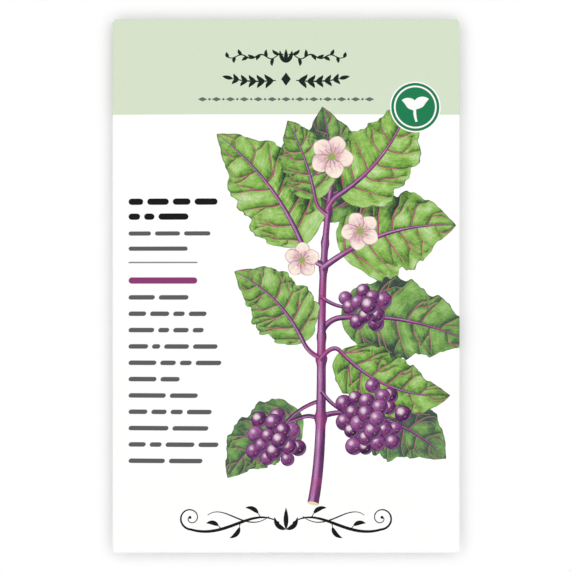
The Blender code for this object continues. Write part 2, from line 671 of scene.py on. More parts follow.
class Rail:
    """A smooth curve over the sheet, that leaves, stems and strokes are drawn along."""

    def __init__(self, places: Array) -> None:
        """Takes the curve's places, close together.

        Args:
            places: The places, one to a row.
        """
        self.places = places
        lengths = np.linalg.norm(np.diff(places, axis=0), axis=1)
        self.shares = np.clip(np.concatenate([[0.0], np.cumsum(lengths)]) / lengths.sum(), 0.0, 1.0)
        self.length = float(lengths.sum())
        slopes = np.gradient(places, axis=0)
        slopes /= np.linalg.norm(slopes, axis=1)[:, None]
        self.sides = np.stack([slopes[:, 1], -slopes[:, 0]], 1)

    @classmethod
    def bent(cls, *knots: Point, steps: int = 60) -> "Rail":
        """A curve that leaves the first knot, leans towards those between, and ends at the last.

        Args:
            *knots: The knots.
            steps: How many places it has.

        Returns:
            The curve.
        """
        degree = len(knots) - 1
        shares = np.linspace(0.0, 1.0, steps)
        places = np.zeros((steps, 2))
        for number, knot in enumerate(knots):
            weight = math.comb(degree, number) * shares**number * (1 - shares) ** (degree - number)
            places += weight[:, None] * np.array(knot)
        return cls(places)

    @classmethod
    def arched(cls, start: Point, end: Point, bow: float, steps: int) -> "Rail":
        """A curve that bows out to its right.

        Args:
            start: Where it starts.
            end: Where it ends.
            bow: How far it bows out, as a share of its length.
            steps: How many places it has.

        Returns:
            The curve.
        """
        across = np.array(end) - np.array(start)
        middle = (np.array(start) + np.array(end)) / 2 + 2 * bow * np.array([across[1], -across[0]])
        return cls.bent(start, middle, end, steps=steps)

    def read(self, shares: Array | float, rows: Array) -> Array:
        """Numbers that go with the curve's places, at shares of the way along."""
        return np.stack([np.interp(shares, self.shares, column) for column in rows.T], -1)

    def at(self, share: float) -> Array:
        """The place at a share of the way along."""
        return self.read(share, self.places)

    def heading(self, share: float) -> float:
        """The direction of the curve at a share of the way along."""
        side = self.read(share, self.sides)
        return math.atan2(side[0], -side[1])

    def nearest(self, places: Array) -> tuple[Array, Array, Array]:
        """Finds the curve's point nearest to each place.

        Args:
            places: The places, one to a row.

        Returns:
            How far along the curve that point is, as a share, the way from it to the place, and the way to
            the curve's right there.
        """
        starts, spans = self.places[:-1], np.diff(self.places, axis=0)
        away = places[:, None, :] - starts[None]
        ways = np.clip((away * spans).sum(2) / (spans**2).sum(1), 0.0, 1.0)
        misses = away - ways[..., None] * spans[None]
        segment = (misses**2).sum(2).argmin(1)
        rows = np.arange(len(places))
        shares = self.shares[segment] + ways[rows, segment] * np.diff(self.shares)[segment]
        return shares, misses[rows, segment], self.sides[segment]


class Paint(Enum):
    """What covers a face of the sheet, in the order of its material slots."""

    FLAT = 0
    LEAF = 1
    VEIN = 2
    STEM = 3
    BERRY = 4
    PETAL = 5
    BARE_SIDE = 6


@dataclass
class Patch:
    """A printed patch: its outline, and what covers it."""

    outline: Array
    ink: Colour = BARE
    paint: Paint = Paint.FLAT
    tone: tuple[float, float, float] = (0.0, 0.0, 0.0)

    def place(self, places: Array) -> Array:
        """What "place" says at places of the patch. Flat ink needs nothing there."""
        return np.zeros((len(places), 3))

    def swell(self, places: Array) -> Array:
        """What "swell" says at places of the patch. Only a leaf's blade needs something there."""
        return np.zeros((len(places), 3))


@dataclass
class Ribbon(Patch):
    """A patch along a curve, such as a leaf or a stroke."""

    rail: Rail = None
    widths: Array = None

    @classmethod
    def along(cls, rail: Rail, left: Array, right: Array | None = None, **cover: Any) -> Self:
        """A patch along a curve.

        Args:
            rail: The curve.
            left: How wide the patch is to its left, at each of the curve's places.
            right: The same to its right, where it isn't the same.
            **cover: The patch's ink, paint and tone.

        Returns:
            The patch.
        """
        widths = np.stack([left, left if right is None else right], 1)
        right_side = rail.places + rail.sides * widths[:, 1:]
        left_side = rail.places - rail.sides * widths[:, :1]
        return cls(outline=np.concatenate([right_side, left_side[::-1]]), rail=rail, widths=widths, **cover)

    def place(self, places: Array) -> Array:
        """How far along and how far out places are, and how far inside the rim.

        Args:
            places: The places, one to a row.

        Returns:
            The three numbers for each.
        """
        along, misses, sides = self.rail.nearest(places)
        out = np.copysign(np.linalg.norm(misses, axis=1), (misses * sides).sum(1))
        left, right = self.rail.read(along, self.widths).T
        width = np.maximum(np.where(out > 0, right, left), 1e-3)
        reach = np.clip(out / width, -1.0, 1.0)
        return np.stack([along, reach, (1 - np.abs(reach)) * width], 1)


@dataclass
class Blade(Ribbon):
    """A leaf's blade, which swells between its veins and lies under the leaves drawn after it."""

    veins: list[Rail] = None
    above: list[Array] = None
    shadow_depth: float = 1.5

    def spots(self, shares: Array, reaches: Array) -> Array:
        """Places of the blade.

        Args:
            shares: How far along the blade each is.
            reaches: How far out each is, as a share of the width there: to the right above 0, to the left
                below.

        Returns:
            The places, one to a row.
        """
        rail, shares = self.rail, np.clip(shares, 0.0, 1.0)
        left, right = rail.read(shares, self.widths).T
        out = (reaches * np.where(reaches > 0, right, left))[:, None]
        return rail.read(shares, rail.places) + rail.read(shares, rail.sides) * out

    def swell(self, places: Array) -> Array:
        """How the blade swells at places of it.

        Args:
            places: The places, one to a row.

        Returns:
            For each, how far the nearest vein is, how much the swelling beside it faces the light, and how
            shaded it is from above.
        """
        near = np.full(len(places), np.inf)
        lean, dimmed = np.zeros(len(places)), np.zeros(len(places))
        for vein in self.veins:
            _, way, _ = vein.nearest(places)
            size = np.linalg.norm(way, axis=1)
            closer = size < near
            near[closer] = size[closer]
            lean[closer] = (way[closer] @ FROM_LIGHT) / np.maximum(size[closer], 1e-6)
        for outline in self.above:
            rim = Rail(np.concatenate([outline, outline[:1]]))
            gap = np.linalg.norm(rim.nearest(places)[1], axis=1)
            gap[within(outline, places)] = 0.0
            dimmed = np.maximum(dimmed, np.exp(-((gap / self.shadow_depth) ** 2)))
        return np.stack([near, lean, dimmed], 1)


@dataclass
class Round(Patch):
    """A round patch, such as a berry."""

    centre: Array = None
    radius: float = 1.0

    def place(self, places: Array) -> Array:
        """Where places are across the patch, as shares of its radius."""
        across = (places - self.centre) / self.radius
        return np.column_stack([across, np.full(len(places), self.tone[0])])


def stroke(rail: Rail, thin: float, swell: float = 0.0, ink: Colour = BLACK_INK, lean: float = 0.5) -> Ribbon:
    """A pen stroke along a curve.

    Args:
        rail: The curve.
        thin: Its half width at its ends.
        swell: How much wider it gets between them.
        ink: Its ink.
        lean: Where along it is widest.

    Returns:
        The patch.
    """
    bent = rail.shares ** (math.log(0.5) / math.log(lean))
    return Ribbon.along(rail, thin + swell * np.sin(np.pi * bent) ** 2, ink=ink)


def leaflet(
    foot: Point, heading: float, length: float, half_width: float, ink: Colour, bow: float = 0.0
) -> Ribbon:
    """A small flat leaf of one ink.

    Args:
        foot: Where it starts.
        heading: The way that it points.
        length: Its length.
        half_width: Half its width.
        ink: Its ink.
        bow: How much it curves.

    Returns:
        The patch.
    """
    rail = Rail.arched(foot, onward(foot, heading, length), bow, 12)
    return Ribbon.along(rail, half_width * np.sin(np.pi * rail.shares**0.85) ** 0.9 + 0.02, ink=ink)


def disc(centre: Point, radius: float, sides: int, **cover: Any) -> Round:
    """A round patch."""
    middle = np.array(centre, float)
    return Round(outline=middle + radius * circle(sides), centre=middle, radius=radius, **cover)


def block(left: float, right: float, bottom: float, top: float, ink: Colour) -> Patch:
    """A rectangle of flat ink."""
    corners = [(left, bottom), (right, bottom), (right, top), (left, top)]
    return Patch(outline=np.array(corners, float), ink=ink)


def lozenge(x: float, y: float, half_width: float, half_height: float, ink: Colour) -> Patch:
    """A lozenge of flat ink."""
    corners = [(x - half_width, y), (x, y - half_height), (x + half_width, y), (x, y + half_height)]
    return Patch(outline=np.array(corners), ink=ink)


# The print


@dataclass
class BarLines:
    """Lines of bars with round ends and uneven lengths, ragged on the right."""

    left: float
    ends: tuple[float, ...]
    top: float
    pitch: float
    height: float
    ink: Colour
    slant: float = 0.0
    bar_gap: float = 0.95
    shortest: float = 2.2
    longest: float = 7.4
    draw_number: int = 1

    def bar(self, left: float, right: float, middle: float) -> Patch:
        """One bar.

        Args:
            left: Where it starts.
            right: Where it ends.
            middle: The height of its middle.

        Returns:
            The patch.
        """
        radius = self.height / 2
        turns = np.linspace(-np.pi / 2, np.pi / 2, 7)
        ends = []
        for centre, flip in ((right - radius, 1), (left + radius, -1)):
            for turn in turns:
                ends.append((centre + flip * radius * math.cos(turn), flip * radius * math.sin(turn)))
        return Patch(outline=np.array([(x + self.slant * y, middle + y) for x, y in ends]), ink=self.ink)

    def spans(self, end: float, draw: random.Random) -> Iterable[tuple[float, float]]:
        """Where the bars of a line start and end.

        Args:
            end: Where the line ends.
            draw: The draw of their lengths.

        Yields:
            Each bar's start and end.
        """
        lengths: list[float] = []
        room = end - self.left
        while sum(lengths) + self.bar_gap * len(lengths) < room:
            lengths.append(draw.uniform(self.shortest, self.longest))
        if len(lengths) > 1 and draw.random() < 0.5:
            lengths.pop()
        stretch = (room - self.bar_gap * (len(lengths) - 1)) / sum(lengths)
        start = self.left
        for length in lengths:
            yield start, start + length * stretch
            start += length * stretch + self.bar_gap

    def patches(self) -> list[Patch]:
        """The bars of all lines.

        Returns:
            The patches.
        """
        draw = random.Random(self.draw_number)
        rows = [(self.top - number * self.pitch, end) for number, end in enumerate(self.ends)]
        return [self.bar(*span, middle) for middle, end in rows for span in self.spans(end, draw)]


@dataclass
class BarColumn:
    """The column on the left of the front: two bold lines, two plain ones, a rule, a heading, a paragraph."""

    left: float = -37.4
    bold: tuple[float, ...] = (-16.2, -23.1)
    plain: tuple[float, ...] = (-17.9, -23.3)
    heading: float = -21.0
    ragged: tuple[float, ...] = (
        -23.1, -18.8, -19.5, -16.2, -15.3, -25.2, -20.9, -17.6, -18.4, -16.0, -19.8
    )
    slant: float = 0.17

    def patches(self) -> list[Patch]:
        """The column's bars and its rule.

        Returns:
            The patches.
        """
        lines = (
            BarLines(self.left, self.bold, 20.0, 3.54, 1.5, BLACK_INK, draw_number=3),
            BarLines(self.left, self.plain, 12.46, 3.6, 1.0, GREY_INK, draw_number=5),
            BarLines(self.left, (self.heading,), 1.3, 4.0, 1.5, PLUM_INK, longest=16.0, draw_number=2),
            BarLines(self.left, self.ragged, -2.7, 3.88, 1.08, GREY_INK, self.slant, draw_number=11),
        )
        rule = block(self.left, self.heading, 5.41, 5.75, RULE_INK)
        return [patch for part in lines for patch in part.patches()] + [rule]


@dataclass
class BandOrnaments:
    """Three rows of printer's ornament in the green band."""

    vine_height: float = 54.5
    vine_half: float = 14.2
    vine_leaves: int = 9
    laurel_height: float = 49.1
    laurel_start: float = 2.4
    laurel_knot: float = 8.47
    laurel_end: float = 12.6
    laurel_pairs: int = 5
    bead_height: float = 44.3
    bead_pitch: float = 3.3
    beads_a_side: int = 6

    def vine(self) -> list[Patch]:
        """The upper row: a thin vine with small leaves, the same on both sides of a bud.

        Returns:
            The patches.
        """
        patches: list[Patch] = []
        for flip in (-1, 1):
            shares = np.linspace(0.04, 1.0, 50)
            y = self.vine_height + 0.62 * np.sin(shares * 3 * 2 * np.pi) * (1 - 0.45 * shares)
            rail = Rail(np.stack([flip * self.vine_half * shares, y], 1))
            patches.append(stroke(rail, 0.11, 0.06, BAND_INK))
            for number in range(self.vine_leaves):
                share = (number + 0.6) / self.vine_leaves
                turn = -flip if number % 2 else flip
                heading = rail.heading(share) + turn * math.radians(52)
                leaf = leaflet(rail.at(share), heading, 2.1 - 0.7 * share, 0.40, BAND_INK, 0.14 * turn)
                patches.append(leaf)
        for turn in (-0.45, 0.0, 0.45):
            foot = (0.0, self.vine_height - 1.5)
            patches.append(leaflet(foot, math.pi / 2 - turn, 3.3, 0.46, BAND_INK, 0.25 * turn))
        return patches

    def laurel(self) -> list[Patch]:
        """The middle row: a bold branch on each side of a lozenge, with its leaves in pairs.

        Returns:
            The patches.
        """
        y = self.laurel_height
        patches: list[Patch] = [lozenge(0.0, y, 1.15, 1.6, BAND_INK)]
        for flip in (-1, 1):
            start, end = (self.laurel_start * flip, y - 0.3), (self.laurel_end * flip, y + 0.1)
            rail = Rail.bent(start, (self.laurel_knot * flip, y - 0.9), end)
            patches.append(stroke(rail, 0.13, 0.06, BAND_INK))
            for pair in range(self.laurel_pairs):
                share = (pair + 0.25) / self.laurel_pairs
                length, half_width = 2.7 - 0.8 * share, 0.50 - 0.1 * share
                for turn in (-1, 1):
                    heading = rail.heading(share) + turn * math.radians(40)
                    leaf = leaflet(rail.at(share), heading, length, half_width, BAND_INK, 0.14 * turn)
                    patches.append(leaf)
            patches.append(leaflet(rail.at(1.0), rail.heading(1.0), 2.6, 0.46, BAND_INK))
        return patches

    def beads(self) -> list[Patch]:
        """The lower row: thin lozenges with dots between them, in a paler ink.

        Returns:
            The patches.
        """
        patches: list[Patch] = []
        for number in range(-self.beads_a_side, self.beads_a_side + 1):
            x, y = number * self.bead_pitch, self.bead_height
            patches.append(lozenge(x, y, 1.15, 0.52, FINE_INK))
            if number < self.beads_a_side:
                patches.append(disc((x + self.bead_pitch / 2, y), 0.29, 12, ink=FINE_INK))
        return patches

    def patches(self) -> list[Patch]:
        """All three rows."""
        return self.vine() + self.laurel() + self.beads()


@dataclass
class Flourish:
    """A pen flourish at the foot of the front, the same on both sides of three leaves."""

    height: float = -55.6
    half: float = 25.6
    curl_size: float = 2.5
    curl_turns: float = 1.35

    def curl(self, flip: int) -> list[Patch]:
        """One side: a long swelling stroke that ends in a curl, with a thin tendril and three leaves.

        Args:
            flip: -1 for the left side, 1 for the right.

        Returns:
            The patches.
        """
        y = self.height
        turns = np.linspace(0.0, 1.0, 60)
        angle = -np.pi / 2 + turns * self.curl_turns * 2 * np.pi
        radius = self.curl_size * (1 - turns) ** 0.8 + 0.25
        curl = np.stack([self.half - 3.0 + radius * np.cos(angle), y + 0.5 + radius * np.sin(angle)], 1)
        lead = Rail.bent((1.6, y - 0.6), (8.0, y + 3.8), (14.0, y - 4.8), curl[0]).places
        main = Rail(np.concatenate([lead[:-1], curl]) * [flip, 1])
        knots = ((4.0, y + 0.9), (9.5, y - 3.6), (14.5, y + 4.4), (18.6, y + 1.2))
        tendril = Rail.bent(*((x * flip, knot_y) for x, knot_y in knots))
        patches: list[Patch] = [stroke(tendril, 0.09, 0.08), stroke(main, 0.11, 0.26, lean=0.36)]
        for share, side, size in ((0.13, 1, 3.4), (0.27, -1, 3.6), (0.40, 1, 3.0)):
            turn = side * flip
            heading = main.heading(share) + turn * math.radians(62)
            knee = onward(main.at(share), heading, 1.0)
            patches.append(stroke(Rail.bent(main.at(share), knee, steps=4), 0.11))
            heading -= turn * math.radians(34)
            patches.append(leaflet(knee, heading, size, 0.52, BLACK_INK, -0.16 * turn))
        return [*patches, disc(main.places[-1], 0.36, 16, ink=BLACK_INK)]

    def patches(self) -> list[Patch]:
        """Both sides, and the leaves between them.

        Returns:
            The patches.
        """
        foot = (0.0, self.height - 2.2)
        middle = [
            leaflet(foot, math.pi / 2 - turn, size, 0.56, BLACK_INK, 0.25 * turn)
            for turn, size in ((-0.75, 4.0), (0.75, 4.0), (0.0, 5.2))
        ]
        return self.curl(-1) + self.curl(1) + middle


@dataclass
class Roundel:
    """A round green disc with a white ring and a white seedling of two leaves."""

    centre: Point = (30.7, 42.5)
    radius: float = 6.05
    white: Colour = srgb(250, 250, 248)

    def patches(self) -> list[Patch]:
        """The disc, the ring and the seedling.

        Returns:
            The patches.
        """
        x, y = self.centre
        stem = Rail.bent((x + 0.3, y - 3.5), (x - 0.4, y - 1.6), (x, y + 0.5))
        return [
            disc(self.centre, self.radius, 72, ink=self.white),
            disc(self.centre, self.radius - 0.32, 72, ink=BADGE_GREEN),
            disc(self.centre, self.radius - 0.95, 64, ink=self.white),
            disc(self.centre, self.radius - 1.35, 64, ink=BADGE_GREEN),
            stroke(stem, 0.26, 0.08, self.white),
            leaflet((x, y - 0.6), math.radians(38), 4.1, 1.2, self.white, -0.16),
            leaflet((x, y - 0.9), math.radians(142), 4.1, 1.2, self.white, 0.16),
        ]


@dataclass
class Leaf:
    """One painted leaf: where its stalk starts, where its blade starts and ends, and its looks."""

    root: Point
    foot: Point
    tip: Point
    half_width: float
    bow: float
    shade: float
    blue: float
    steps: int = 110
    swell: float = 0.55
    taper: float = 0.92
    waves: tuple[Point, ...] = ((2.3, 0.07), (5.2, 0.06), (10.5, 0.03), (21.0, 0.012))
    vein_pairs: int = 6
    vein_lead: float = 0.17
    vein_thickness: float = 0.165
    vein_reach: float = 0.95

    def blade(self, draw: random.Random) -> Blade:
        """The blade, widest near its foot, with a waved rim and its veins.

        Args:
            draw: The draw that shapes the rim and the veins.

        Returns:
            The patch.
        """
        rail = Rail.arched(self.foot, self.tip, self.bow, self.steps)
        share, swell, taper = rail.shares, self.swell, self.taper
        widest = swell / (swell + taper)
        form = share**swell * (1 - share) ** taper / (widest**swell * (1 - widest) ** taper)
        sides = []
        for _ in range(2):
            rim = np.ones_like(share)
            for cycles, size in self.waves:
                rim += size * np.sin(2 * np.pi * cycles * share + draw.uniform(0, 2 * math.pi))
            sides.append(self.half_width * form * rim + 0.03)
        blade = Blade.along(rail, *sides, paint=Paint.LEAF, tone=(draw.random(), self.shade, self.blue))
        blade.veins = self.veins(blade, draw)
        return blade

    def veins(self, blade: Blade, draw: random.Random) -> list[Rail]:
        """The side veins, which bend towards the tip, each followed by its forks.

        Args:
            blade: The blade.
            draw: The draw that sets where they start and how they bend.

        Returns:
            The veins.
        """
        found: list[Rail] = []
        for side in (-1, 1):
            for number in range(self.vein_pairs):
                row = number + 0.3 + 0.22 * side + draw.uniform(-0.16, 0.16)
                start = 0.03 + 0.86 * row / self.vein_pairs
                lead = self.vein_lead * draw.uniform(0.75, 1.2) * (1 - 0.4 * start)
                bend, turn = draw.uniform(1.1, 1.8), draw.uniform(0, 2 * math.pi)

                def course(steps: Array) -> Array:
                    """How far along the blade the vein is, at shares of the way to the rim."""
                    return start + lead * steps**bend + 0.010 * steps * np.sin(7.0 * steps + turn)

                steps = np.linspace(0.0, 1.0, 14)
                found.append(Rail(blade.spots(course(steps), side * self.vein_reach * steps)))
                for fork in range(draw.choice((1, 1, 2))):
                    leaves_at = draw.uniform(0.22, 0.68)
                    way = 1 if (fork + number) % 2 else -1
                    stop = leaves_at + (1 - leaves_at) * draw.uniform(0.55, 0.95)
                    steps = np.linspace(leaves_at, stop, 8)
                    spread = (steps - leaves_at) / (stop - leaves_at)
                    shares = course(steps) + way * draw.uniform(0.06, 0.10) * spread**0.85
                    found.append(Rail(blade.spots(shares, side * self.vein_reach * steps)))
        return found

    def patches(self, draw: random.Random) -> list[Patch]:
        """The blade, its veins, and its stalk, which runs on as the midrib.

        Args:
            draw: The draw that shapes the blade.

        Returns:
            The patches.
        """
        blade = self.blade(draw)
        patches: list[Patch] = [blade]
        size = self.half_width / 9.0
        for vein in blade.veins:
            whole = min(1.0, vein.length / self.half_width)
            half = self.vein_thickness * size * whole * (1 - 0.75 * vein.shares) + 0.03
            patches.append(Ribbon.along(vein, half, paint=Paint.VEIN, tone=(0.0, self.shade, self.blue)))
        bend = onward(self.foot, blade.rail.heading(0.0), -0.5 * math.dist(self.root, self.foot))
        stalk = Rail.bent(self.root, bend, self.foot, steps=18)
        ribbed = int(0.96 * self.steps)
        path = Rail(np.concatenate([stalk.places[:-1], blade.rail.places[:ribbed]]))
        half = size * (0.07 + 0.64 * (1 - path.shares) ** 0.8)
        blade.veins.append(blade.rail)
        return [*patches, Ribbon.along(path, half, paint=Paint.STEM, tone=(size, 0.6 * self.shade, 0.0))]


@dataclass
class Bunch:
    """A bunch of berries on thin stalks, which hangs from the stem at its root."""

    root: Point
    centre: Point
    half_width: float
    half_height: float
    count: int
    berry_radius: float = 1.95

    def stalk(self, start: Point, end: Point, thick: float, thin: float, bow: float, shade: float) -> Ribbon:
        """A thin stem.

        Args:
            start: Where it starts.
            end: Where it ends.
            thick: Half its width at its start.
            thin: Half its width at its end.
            bow: How much it curves.
            shade: How shaded it is.

        Returns:
            The patch.
        """
        rail = Rail.arched(start, end, bow, 16)
        half = thick + (thin - thick) * rail.shares
        return Ribbon.along(rail, half, paint=Paint.STEM, tone=(thick, shade, 0.0))

    def patches(self, draw: random.Random) -> list[Patch]:
        """The stalks and the berries, the hindmost first.

        Args:
            draw: The draw that sets the berries' places and sizes.

        Returns:
            The patches.
        """
        golden = math.pi * (3 - math.sqrt(5))
        berries = []
        for number in range(self.count):
            reach = math.sqrt((number + 0.5) / self.count)
            turn = number * golden + draw.uniform(-0.2, 0.2)
            x = self.centre[0] + self.half_width * reach * math.cos(turn)
            y = self.centre[1] + self.half_height * reach * math.sin(turn)
            berries.append(((x, y), self.berry_radius * draw.uniform(0.84, 1.1), reach))
        patches: list[Patch] = [self.stalk(self.root, self.centre, 0.5, 0.32, 0.12, 0.3)]
        for place, _, reach in berries:
            if reach > 0.5:
                patches.append(self.stalk(self.centre, place, 0.24, 0.2, 0.1, 0.35))
        for place, radius, reach in reversed(berries):
            tone = (draw.random(), 0.5 * reach * draw.random(), 0.0)
            patches.append(disc(place, radius, 30, paint=Paint.BERRY, tone=tone))
        return patches


@dataclass
class Blossom:
    """A blossom of five petals round a green eye with stamens. Its number turns it."""

    centre: Point
    size: float
    number: int
    petals: int = 5
    stamens: int = 11

    def patches(self) -> list[Patch]:
        """The petals, the stamens and the eye.

        Returns:
            The patches.
        """
        patches: list[Patch] = []
        for petal in range(self.petals):
            turn = 2 * math.pi * (petal / self.petals + 0.13 * self.number)
            rail = Rail.arched(self.centre, onward(self.centre, turn, self.size), 0.05, 28)
            half = self.size * 0.43 * np.sin(np.pi * rail.shares**1.25) ** 0.62 + 0.03
            notch = 1 - 0.05 * np.sin(9 * rail.shares + petal)
            tone = (petal / self.petals, 0.25 * (petal % 2), 0.0)
            patches.append(Ribbon.along(rail, half * notch, half / notch, paint=Paint.PETAL, tone=tone))
        for stamen in range(self.stamens):
            turn = 2 * math.pi * stamen / self.stamens
            end = onward(self.centre, turn, self.size * (0.34 + 0.06 * (stamen % 3)))
            patches.append(stroke(Rail.arched(self.centre, end, 0.05, 6), 0.055, 0.0, srgb(146, 96, 132)))
            patches.append(disc(end, 0.2, 10, ink=srgb(196, 158, 78)))
        return [*patches, disc(self.centre, self.size * 0.17, 18, ink=srgb(150, 170, 92))]


@dataclass
class BerrySprig:
    """A painted sprig: opposite leaves on a plum stem, bunches of berries and a few blossoms."""

    stem: tuple[Point, ...] = ((6.4, -51.6), (10.5, -30.0), (5.8, -4.0), (11.8, 30.5))
    stem_foot: float = 1.35
    stem_top: float = 0.6
    knuckle: float = 0.22
    knuckle_length: float = 0.012
    cut_depth: float = 0.42
    behind: tuple[Leaf, ...] = (
        Leaf((8.3, -31.0), (13.5, -30.0), (38.0, -41.0), 8.6, -0.10, 0.62, 0.55),
        Leaf((8.0, -31.5), (4.0, -31.0), (-13.8, -45.5), 7.0, 0.10, 0.58, 0.5),
        Leaf((7.9, -12.0), (13.0, -7.5), (44.0, -13.5), 9.6, -0.07, 0.48, 0.35),
        Leaf((8.8, 10.0), (9.8, 15.0), (8.6, 42.5), 8.2, 0.05, 0.46, 0.35),
    )
    before: tuple[Leaf, ...] = (
        Leaf((8.1, -17.0), (4.2, -13.4), (-12.2, 3.4), 7.4, 0.09, 0.22, 0.2),
        Leaf((8.0, -17.5), (12.8, -15.4), (39.0, -26.0), 7.4, 0.12, 0.3, 0.1),
        Leaf((8.4, 4.0), (13.2, 7.4), (40.4, 14.4), 10.2, -0.08, 0.12, 0.05),
        Leaf((8.6, 5.0), (4.0, 9.4), (-16.4, 36.0), 9.2, 0.07, 0.1, 0.05),
        Leaf((9.8, 18.0), (12.6, 21.6), (29.5, 44.2), 8.6, 0.09, 0.14, 0.0),
        Leaf((9.6, 17.0), (7.0, 20.5), (0.4, 39.2), 6.2, 0.04, 0.3, 0.15),
    )
    bunches_behind: tuple[Bunch, ...] = (Bunch((8.6, -27.0), (-2.6, -36.6), 6.0, 6.6, 15),)
    bunches_before: tuple[Bunch, ...] = (
        Bunch((8.4, -25.0), (20.5, -31.5), 7.6, 8.6, 23),
        Bunch((8.2, -2.5), (18.6, -4.8), 5.4, 4.8, 11),
    )
    blossoms: tuple[Blossom, ...] = (
        Blossom((10.8, 30.6), 5.2, 0),
        Blossom((17.6, 13.0), 4.6, 1),
        Blossom((3.8, 6.2), 4.2, 2),
    )
    draw_number: int = 12
    shadow_shift: Point = (0.9, -0.9)

    def main_stem(self) -> list[Patch]:
        """The stem, thicker where leaves leave it, with its cut end.

        Returns:
            The patches.
        """
        rail = Rail.bent(*self.stem, steps=120)
        half = self.stem_foot + (self.stem_top - self.stem_foot) * rail.shares
        roots = np.array([leaf.root for leaf in (*self.behind, *self.before)])
        for share in rail.nearest(roots)[0]:
            half += self.knuckle * np.exp(-(((rail.shares - share) / self.knuckle_length) ** 2))
        across, down = rail.sides[0], np.array([rail.sides[0][1], -rail.sides[0][0]])
        wide, tall = circle(24).T[:, :, None]
        outline = rail.places[0] + wide * across * half[0] + tall * down * self.cut_depth
        cut = Patch(outline=outline, ink=srgb(232, 214, 178))
        return [Ribbon.along(rail, half, paint=Paint.STEM, tone=(0.4, 0.1, 0.0)), cut]

    def patches(self) -> list[Patch]:
        """The sprig, the hindmost patches first.

        Returns:
            The patches.
        """
        draw = random.Random(self.draw_number)
        patches: list[Patch] = []
        for leaves, bunches in ((self.behind, self.bunches_behind), (self.before, self.bunches_before)):
            for leaf in leaves:
                patches += leaf.patches(draw)
            for bunch in bunches:
                patches += bunch.patches(random.Random(self.draw_number + bunch.count))
            if leaves is self.behind:
                patches += self.main_stem()
        for blossom in self.blossoms:
            patches += blossom.patches()
        blades = [patch for patch in patches if isinstance(patch, Blade)]
        for number, blade in enumerate(blades):
            blade.above = [other.outline + np.array(self.shadow_shift) for other in blades[number + 1 :]]
        return patches


